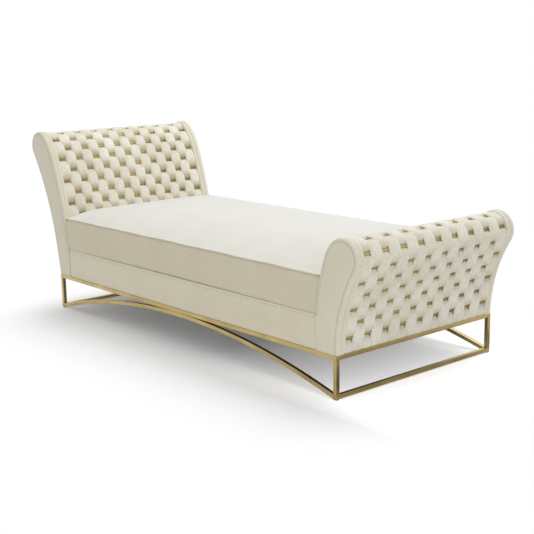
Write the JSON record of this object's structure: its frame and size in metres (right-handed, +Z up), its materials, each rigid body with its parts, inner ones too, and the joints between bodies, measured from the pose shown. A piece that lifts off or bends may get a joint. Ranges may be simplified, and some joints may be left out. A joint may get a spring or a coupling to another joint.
{
  "type": "chaise longue",
  "caption": "Double-ended velvet daybed: curled ends woven from padded straps over gold bars, loose boxed mattress, slim gold base with a shallow arch along each side.",
  "frame": {"origin": "on the floor, under the middle of the overall length and width", "axes": "+X along the daybed from the tall head end to the low foot end, -Y the long front shown in the picture, +Z up"},
  "size_m": [2.1529, 0.85, 0.82],
  "materials": {
    "gold": "satin plated tube",
    "gold_bars": "polished bar",
    "glide": "moulded",
    "dust_cloth": "spunbond cloth",
    "timber": "planed",
    "plywood": "sanded",
    "webbing": "elastic webbing",
    "deck_cloth": "quilted cloth",
    "velvet": "short-pile velvet",
    "mattress_velvet": "short-pile velvet",
    "foam": "open-cell foam"
  },
  "bodies": {
    "daybed": {"base_top_rail_front": "gold", "base_top_rail_rear": "gold", "base_top_rail_head": "gold", "base_top_rail_foot": "gold", "base_floor_rail_head": "gold", "base_floor_rail_foot": "gold", "base_post_head_front": "gold", "base_post_head_rear": "gold", "base_post_foot_front": "gold", "base_post_foot_rear": "gold", "base_arch_front": "gold", "base_arch_rear": "gold", "base_cross_bars": "gold", "base_fixing_tabs": "gold", "head_weave_bars": "gold_bars", "foot_weave_bars": "gold_bars", "floor_glides": "glide", "dust_cover": "dust_cloth", "seat_rail_front": "timber", "seat_rail_rear": "timber", "seat_end_rails": "timber", "seat_slats": "timber", "corner_blocks": "timber", "head_crest_rail": "timber", "foot_crest_rail": "timber", "head_battens": "timber", "foot_battens": "timber", "rail_boards": "plywood", "head_ribs": "plywood", "foot_ribs": "plywood", "head_shell": "plywood", "foot_shell": "plywood", "seat_webbing_cross": "webbing", "seat_webbing_long": "webbing", "deck_pad": "deck_cloth", "rail_panel_front": "velvet", "rail_panel_rear": "velvet", "rail_welts": "velvet", "head_facing_front": "velvet", "head_facing_rear": "velvet", "head_edge_rolls": "velvet", "head_borders": "velvet", "head_straps_odd": "velvet", "head_straps_even": "velvet", "foot_facing_front": "velvet", "foot_facing_rear": "velvet", "foot_edge_rolls": "velvet", "foot_borders": "velvet", "foot_straps_odd": "velvet", "foot_straps_even": "velvet"},
    "mattress": {"mattress_cover": "mattress_velvet", "mattress_core": "foam"}
  },
  "joints": [
    {"name": "mattress_lift", "type": "slide", "parent": "daybed", "child": "mattress", "axis": [0, 0, 1], "range_m": [0, 0.56]}
  ]
}
